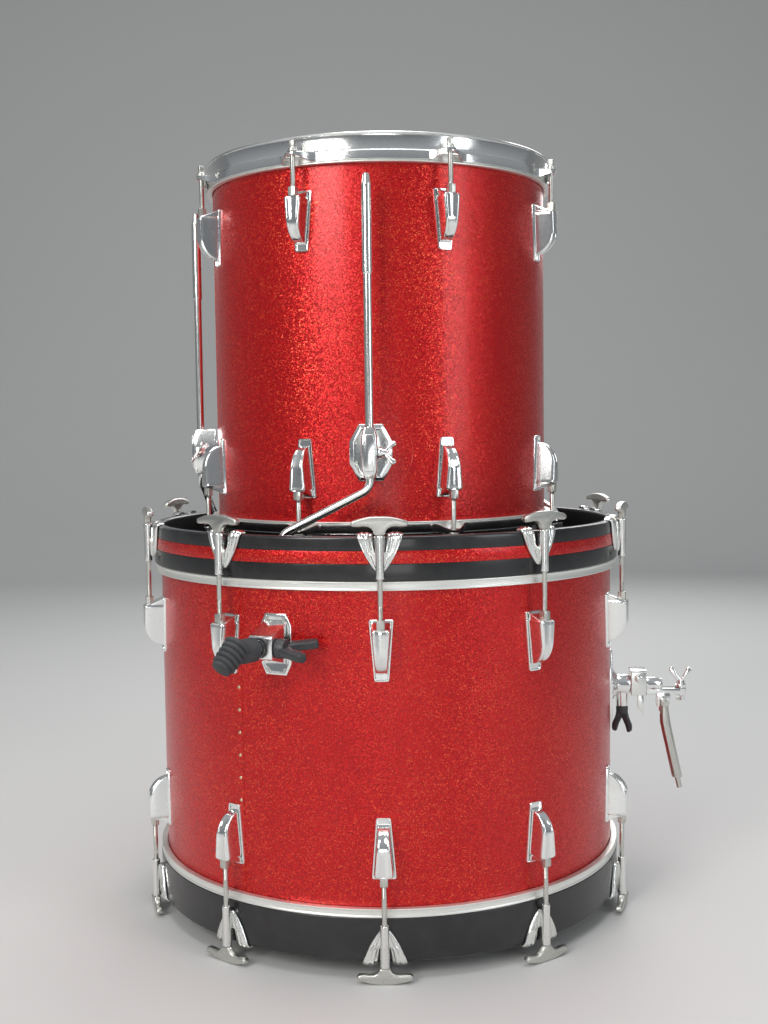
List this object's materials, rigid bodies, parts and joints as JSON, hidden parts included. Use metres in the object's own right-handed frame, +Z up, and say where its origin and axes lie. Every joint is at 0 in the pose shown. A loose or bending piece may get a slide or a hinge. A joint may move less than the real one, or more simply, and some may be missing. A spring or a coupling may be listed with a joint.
{
  "type": "acoustic drum kit",
  "caption": "Bass drum on end with a floor tom stacked on its front head, with tension rods, retracted spurs and a rod holder.",
  "frame": {"origin": "on the floor, on the bass drum's axis", "axes": "+Z up along both drums, -Y to the front, +X to the holder's side"},
  "size_m": [0.679, 0.6868, 0.8991],
  "materials": {
    "red_sparkle_wrap": "gloss wrap with fine red metal flakes",
    "black_lacquer": "gloss black lacquer on maple",
    "chrome": "bright chrome plate",
    "cast_claw_chrome": "chrome plate on a die casting",
    "nickel_rod": "satin nickel plate, slightly aged",
    "leg_chrome": "bright chrome plate",
    "ring_aluminium": "satin drawn aluminium",
    "black_film": "gloss polyester film",
    "coated_film": "white coated polyester film",
    "brass_tack": "nickel-washed brass",
    "black_rubber": "matt rubber",
    "black_nylon": "moulded nylon"
  },
  "bodies": {
    "bass_drum": {"bass_shell": "red_sparkle_wrap", "bass_seam_tacks": "brass_tack", "bass_front_head": "black_film", "bass_batter_head": "coated_film", "bass_head_rings": "ring_aluminium", "bass_front_hoop": "black_lacquer", "bass_front_hoop_inlay": "red_sparkle_wrap", "bass_batter_hoop": "black_lacquer", "bass_lugs": "chrome", "bass_lug_nuts": "brass_tack", "bass_shell_screws": "nickel_rod", "bass_claws": "cast_claw_chrome", "bass_batter_t_rods": "nickel_rod", "bass_vent_grommet": "chrome", "spur_brackets": "chrome", "holder_base": "chrome"},
    "t_rod_1": {"t_rod_1": "nickel_rod"},
    "t_rod_2": {"t_rod_2": "nickel_rod"},
    "t_rod_3": {"t_rod_3": "nickel_rod"},
    "t_rod_4": {"t_rod_4": "nickel_rod"},
    "t_rod_5": {"t_rod_5": "nickel_rod"},
    "t_rod_6": {"t_rod_6": "nickel_rod"},
    "t_rod_7": {"t_rod_7": "nickel_rod"},
    "t_rod_8": {"t_rod_8": "nickel_rod"},
    "t_rod_9": {"t_rod_9": "nickel_rod"},
    "t_rod_10": {"t_rod_10": "nickel_rod"},
    "spur_left": {"spur_left": "nickel_rod", "spur_foot_left": "black_rubber"},
    "spur_knob_left": {"spur_knob_left": "black_nylon"},
    "spur_right": {"spur_right": "nickel_rod", "spur_foot_right": "black_rubber"},
    "spur_knob_right": {"spur_knob_right": "black_nylon"},
    "holder_knob": {"holder_knob": "black_nylon"},
    "holder_head": {"holder_head": "cast_claw_chrome"},
    "holder_arm": {"holder_arm": "nickel_rod"},
    "holder_wing_screw": {"holder_wing_screw": "cast_claw_chrome"},
    "holder_post": {"holder_post": "nickel_rod", "holder_collar": "cast_claw_chrome"},
    "leg_front": {"leg_front": "leg_chrome", "leg_foot_front": "black_rubber"},
    "floor_tom": {"tom_shell": "red_sparkle_wrap", "tom_seam_tacks": "brass_tack", "tom_top_head": "coated_film", "tom_bottom_head": "coated_film", "tom_head_rings": "ring_aluminium", "tom_top_hoop": "chrome", "tom_bottom_hoop": "chrome", "tom_lugs": "chrome", "tom_lug_nuts": "brass_tack", "tom_tension_rods": "nickel_rod", "tom_shell_screws": "nickel_rod", "tom_leg_brackets": "chrome", "tom_vent_grommet": "chrome"},
    "leg_left": {"leg_left": "leg_chrome", "leg_foot_left": "black_rubber"},
    "leg_rear": {"leg_rear": "leg_chrome", "leg_foot_rear": "black_rubber"},
    "leg_wing_front": {"leg_wing_front": "cast_claw_chrome"},
    "leg_wing_left": {"leg_wing_left": "cast_claw_chrome"},
    "leg_wing_rear": {"leg_wing_rear": "cast_claw_chrome"}
  },
  "joints": [
    {"name": "t_rod_1_turn", "type": "hinge", "parent": "bass_drum", "child": "t_rod_1", "pos_m": [-0.00621, -0.29663, 0.48], "axis": [0, 0, 1], "continuous": true},
    {"name": "t_rod_2_turn", "type": "hinge", "parent": "bass_drum", "child": "t_rod_2", "pos_m": [0.16933, -0.24363, 0.48], "axis": [0, 0, 1], "continuous": true},
    {"name": "t_rod_3_turn", "type": "hinge", "parent": "bass_drum", "child": "t_rod_3", "pos_m": [0.2802, -0.09757, 0.48], "axis": [0, 0, 1], "continuous": true},
    {"name": "t_rod_4_turn", "type": "hinge", "parent": "bass_drum", "child": "t_rod_4", "pos_m": [0.28404, 0.08576, 0.48], "axis": [0, 0, 1], "continuous": true},
    {"name": "t_rod_5_turn", "type": "hinge", "parent": "bass_drum", "child": "t_rod_5", "pos_m": [0.17938, 0.23633, 0.48], "axis": [0, 0, 1], "continuous": true},
    {"name": "t_rod_6_turn", "type": "hinge", "parent": "bass_drum", "child": "t_rod_6", "pos_m": [0.00621, 0.29663, 0.48], "axis": [0, 0, 1], "continuous": true},
    {"name": "t_rod_7_turn", "type": "hinge", "parent": "bass_drum", "child": "t_rod_7", "pos_m": [-0.16933, 0.24363, 0.48], "axis": [0, 0, 1], "continuous": true},
    {"name": "t_rod_8_turn", "type": "hinge", "parent": "bass_drum", "child": "t_rod_8", "pos_m": [-0.2802, 0.09757, 0.48], "axis": [0, 0, 1], "continuous": true},
    {"name": "t_rod_9_turn", "type": "hinge", "parent": "bass_drum", "child": "t_rod_9", "pos_m": [-0.28404, -0.08576, 0.48], "axis": [0, 0, 1], "continuous": true},
    {"name": "t_rod_10_turn", "type": "hinge", "parent": "bass_drum", "child": "t_rod_10", "pos_m": [-0.17938, -0.23633, 0.48], "axis": [0, 0, 1], "continuous": true},
    {"name": "spur_left_slide", "type": "slide", "parent": "bass_drum", "child": "spur_left", "axis": [-0.6401, -0.7683, 0], "range_m": [0, 0.19]},
    {"name": "spur_knob_left_turn", "type": "hinge", "parent": "bass_drum", "child": "spur_knob_left", "pos_m": [-0.12726, -0.27542, 0.354], "axis": [0.9078, -0.4195, 0], "continuous": true},
    {"name": "spur_right_slide", "type": "slide", "parent": "bass_drum", "child": "spur_right", "axis": [-0.506, 0.8625, 0], "range_m": [0, 0.19]},
    {"name": "spur_knob_right_turn", "type": "hinge", "parent": "bass_drum", "child": "spur_knob_right", "pos_m": [-0.08057, 0.29251, 0.354], "axis": [-0.9641, -0.2656, 0], "continuous": true},
    {"name": "holder_knob_turn", "type": "hinge", "parent": "bass_drum", "child": "holder_knob", "pos_m": [0.29518, -0.02064, 0.23], "axis": [0, 0, 1], "continuous": true},
    {"name": "holder_post_slide", "type": "slide", "parent": "bass_drum", "child": "holder_post", "axis": [0.9976, -0.0698, 0], "range_m": [0, 0.045]},
    {"name": "holder_head_turn", "type": "hinge", "parent": "holder_post", "child": "holder_head", "pos_m": [0.3292, -0.02302, 0.257], "axis": [0.9976, -0.0698, 0], "range_deg": [-90, 90]},
    {"name": "holder_arm_tilt", "type": "hinge", "parent": "holder_head", "child": "holder_arm", "pos_m": [0.34556, -0.02416, 0.237], "axis": [0.0698, 0.9976, 0], "range_deg": [-100, 10]},
    {"name": "holder_wing_turn", "type": "hinge", "parent": "holder_head", "child": "holder_wing_screw", "pos_m": [0.3675, -0.0257, 0.257], "axis": [0, 0, 1], "continuous": true},
    {"name": "tom_lift_off", "type": "slide", "parent": "bass_drum", "child": "leg_front", "axis": [0, 0, 1], "range_m": [0, 0.15]},
    {"name": "tom_height", "type": "slide", "parent": "leg_front", "child": "floor_tom", "axis": [0, 0, 1], "range_m": [0, 0.24]},
    {"name": "leg_left_slide", "type": "slide", "parent": "floor_tom", "child": "leg_left", "axis": [0, 0, 1], "range_m": [-0.24, 0]},
    {"name": "leg_rear_slide", "type": "slide", "parent": "floor_tom", "child": "leg_rear", "axis": [0, 0, 1], "range_m": [-0.24, 0]},
    {"name": "leg_wing_front_turn", "type": "hinge", "parent": "floor_tom", "child": "leg_wing_front", "pos_m": [-0.01593, -0.22769, 0.55515], "axis": [0.9986, -0.0523, 0], "continuous": true},
    {"name": "leg_wing_left_turn", "type": "hinge", "parent": "floor_tom", "child": "leg_wing_left", "pos_m": [-0.2319, 0.00676, 0.55515], "axis": [-0.0297, -0.9996, 0], "continuous": true},
    {"name": "leg_wing_rear_turn", "type": "hinge", "parent": "floor_tom", "child": "leg_wing_rear", "pos_m": [0.16193, 0.15637, 0.55515], "axis": [-0.6858, 0.7278, 0], "continuous": true}
  ],
  "couplings": [
    {"joint": "leg_left_slide", "follows": "tom_height", "ratio": -1},
    {"joint": "leg_rear_slide", "follows": "tom_height", "ratio": -1}
  ]
}
